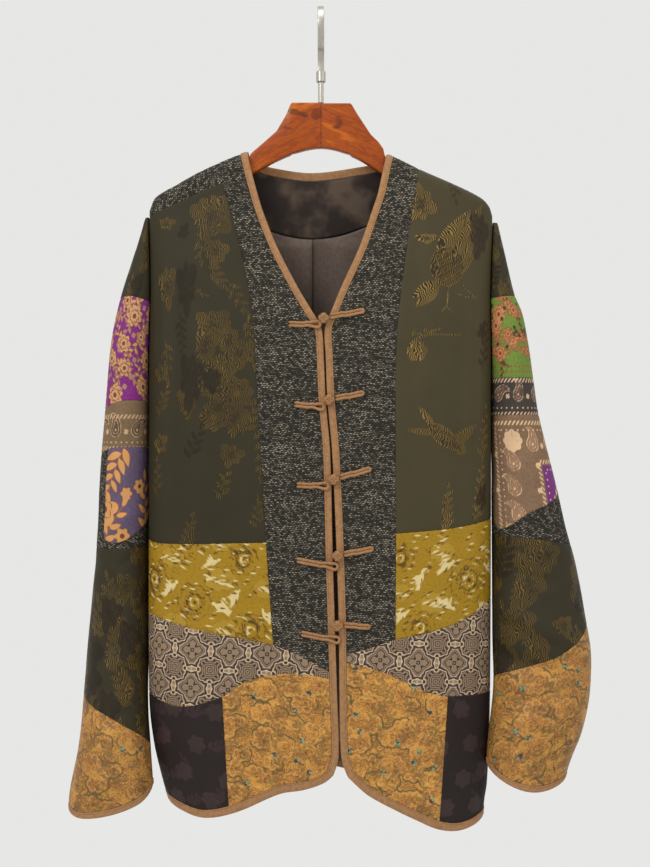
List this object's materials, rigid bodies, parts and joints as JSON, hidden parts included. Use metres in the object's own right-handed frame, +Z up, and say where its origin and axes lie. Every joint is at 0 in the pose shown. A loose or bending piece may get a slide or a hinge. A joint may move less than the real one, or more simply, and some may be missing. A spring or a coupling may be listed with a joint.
{
  "type": "patchwork jacket on a hanger",
  "caption": "Collarless V-neck patchwork jacket of mixed woven fabrics with bound edges, long sleeves and knotted frog closures, hung on a wooden hanger with a steel hook.",
  "frame": {"origin": "inner top of the hook's bend, where the hook rests on its rail", "axes": "+Z up; -Y the front of the jacket; +X to the viewer's right as seen from the front"},
  "size_m": [0.5918, 0.1357, 0.9378],
  "materials": {
    "tweed": "matt charcoal and off-white flecked woven tweed",
    "green": "olive-green figured jacquard with a low sheen",
    "mustard": "mustard brocade with a low sheen",
    "taupe": "taupe brocade with a dark lattice, low sheen",
    "gold": "gold-orange brocade with dark outlines, low sheen",
    "dark": "aubergine-brown faintly figured cloth, low sheen",
    "violet": "violet printed floral cloth",
    "paisley": "charcoal and taupe printed paisley cloth",
    "leaf": "leaf-green printed floral cloth",
    "binding": "tan bias-cut satin binding and rolled cord",
    "lining": "taupe-brown satin lining",
    "facing": "dark charcoal figured facing with a satin sheen",
    "wood": "orange-brown glossy varnish",
    "steel": "plain bright steel, satin"
  },
  "bodies": {
    "root": {"front_left_yoke_tweed": "tweed", "front_left_green": "green", "front_right_green": "green", "front_left_mustard": "mustard", "front_right_mustard": "mustard", "front_left_band_tweed": "tweed", "front_right_band_tweed": "tweed", "front_left_taupe": "taupe", "front_right_taupe": "taupe", "front_left_hem_dark": "dark", "front_right_hem_dark": "dark", "front_left_hem_gold": "gold", "front_right_hem_gold": "gold", "binding_front_left": "binding", "binding_front_right": "binding", "binding_back_hem": "binding", "binding_back_neck": "binding", "back_green": "green", "back_mustard": "mustard", "back_taupe": "taupe", "back_hem_dark": "dark", "facing_back_neck": "facing", "lining_back": "lining", "sleeve_left_cap_green": "green", "sleeve_left_upper_print": "violet", "sleeve_left_band_paisley": "paisley", "sleeve_left_lower_print": "violet", "sleeve_left_tweed": "tweed", "sleeve_left_lower_green": "green", "sleeve_left_cuff_gold": "gold", "sleeve_left_cuff_binding": "binding", "sleeve_right_cap_green": "green", "sleeve_right_upper_print": "leaf", "sleeve_right_band_paisley": "paisley", "sleeve_right_lower_print": "paisley", "sleeve_right_tweed": "tweed", "sleeve_right_lower_green": "green", "sleeve_right_cuff_gold": "gold", "sleeve_right_cuff_binding": "binding", "frog_1_loop": "binding", "frog_1_arm": "binding", "frog_1_knot": "binding", "frog_2_loop": "binding", "frog_2_arm": "binding", "frog_2_knot": "binding", "frog_3_loop": "binding", "frog_3_arm": "binding", "frog_3_knot": "binding", "frog_4_loop": "binding", "frog_4_arm": "binding", "frog_4_knot": "binding", "frog_5_loop": "binding", "frog_5_arm": "binding", "frog_5_knot": "binding", "hanger_left": "wood", "hanger_right": "wood", "hook": "steel", "hook_ferrule": "steel", "hook_stem": "steel"}
  },
  "joints": []
}
